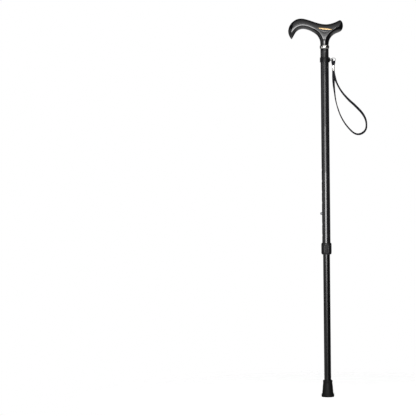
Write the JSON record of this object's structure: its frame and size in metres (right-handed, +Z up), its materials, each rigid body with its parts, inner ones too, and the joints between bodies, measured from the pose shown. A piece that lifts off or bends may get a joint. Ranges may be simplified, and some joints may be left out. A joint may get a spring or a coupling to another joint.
{
  "type": "single point cane",
  "caption": "Height-adjustable walking cane with a derby handle, telescopic two-part shaft, twist lock, snap button, rubber tip and a wrist strap on a ring.",
  "frame": {"origin": "centre of the flat sole of the rubber tip, on the shaft's axis", "axes": "+Z up the shaft, +X from the beak of the handle towards its rear end and the strap, +Y across the handle"},
  "size_m": [0.179, 0.0294, 0.87],
  "materials": {
    "handle_lacquer": "deep black gloss lacquer",
    "polished_chrome": "polished chrome plate",
    "zinc_steel": "zinc plated, satin",
    "white_nylon": "natural nylon",
    "bare_aluminium": "turned aluminium",
    "carbon_weave": "woven carbon fibre under clear gloss coat",
    "black_nylon": "moulded black nylon, matte",
    "anodised_tube": "black anodised, satin gloss",
    "button_steel": "plated steel dome",
    "black_rubber": "moulded black rubber",
    "band_rubber": "smooth black rubber with a faint grain",
    "strap_webbing": "flat braided nylon, near black"
  },
  "bodies": {
    "upper_shaft": {"handle": "handle_lacquer", "handle_collar": "polished_chrome", "handle_stud": "zinc_steel", "collar_shim": "white_nylon", "shaft_plug": "bare_aluminium", "upper_tube": "carbon_weave", "threaded_sleeve": "black_nylon", "collet": "white_nylon"},
    "thrust": {"thrust_ring": "zinc_steel"},
    "nut": {"lock_nut": "black_nylon"},
    "lower_shaft": {"lower_tube": "anodised_tube", "guide_bush": "white_nylon", "guide_o_ring": "black_rubber", "button_spring": "zinc_steel", "lower_plug": "black_nylon", "tip_washer": "zinc_steel", "rubber_tip": "black_rubber"},
    "button": {"snap_button": "button_steel"},
    "band": {"strap_band": "band_rubber"},
    "ring": {"strap_ring": "polished_chrome"},
    "strap": {"strap_eye": "strap_webbing", "crimp_ferrule": "polished_chrome", "wrist_loop": "strap_webbing"}
  },
  "joints": [
    {"name": "height_slide", "type": "slide", "parent": "upper_shaft", "child": "lower_shaft", "axis": [0, 0, -1], "range_m": [-0.1, 0.05]},
    {"name": "button_press", "type": "slide", "parent": "lower_shaft", "child": "button", "axis": [1, 0, 0], "range_m": [0, 0.0053], "stiffness_N_per_m": 600, "springref_m": -0.003, "deforming": ["button_spring"]},
    {"name": "nut_travel", "type": "slide", "parent": "upper_shaft", "child": "thrust", "axis": [0, 0, -1], "range_m": [0, 0.002]},
    {"name": "nut_turn", "type": "hinge", "parent": "thrust", "child": "nut", "pos_m": [0, 0, 0.34], "axis": [0, 0, -1], "range_deg": [0, 360]},
    {"name": "band_turn", "type": "hinge", "parent": "upper_shaft", "child": "band", "pos_m": [0, 0, 0.774], "axis": [0, 0, 1], "continuous": true},
    {"name": "ring_swing", "type": "hinge", "parent": "band", "child": "ring", "pos_m": [0.0146, 0, 0.774], "axis": [0, -1, 0], "range_deg": [-7, 50]},
    {"name": "strap_swing", "type": "hinge", "parent": "ring", "child": "strap", "pos_m": [0.0199, -0.00265, 0.76941], "axis": [1, 0, 0], "range_deg": [-100, 60]}
  ],
  "couplings": [
    {"joint": "nut_travel", "follows": "nut_turn", "m_per_rad": 0.000318}
  ]
}
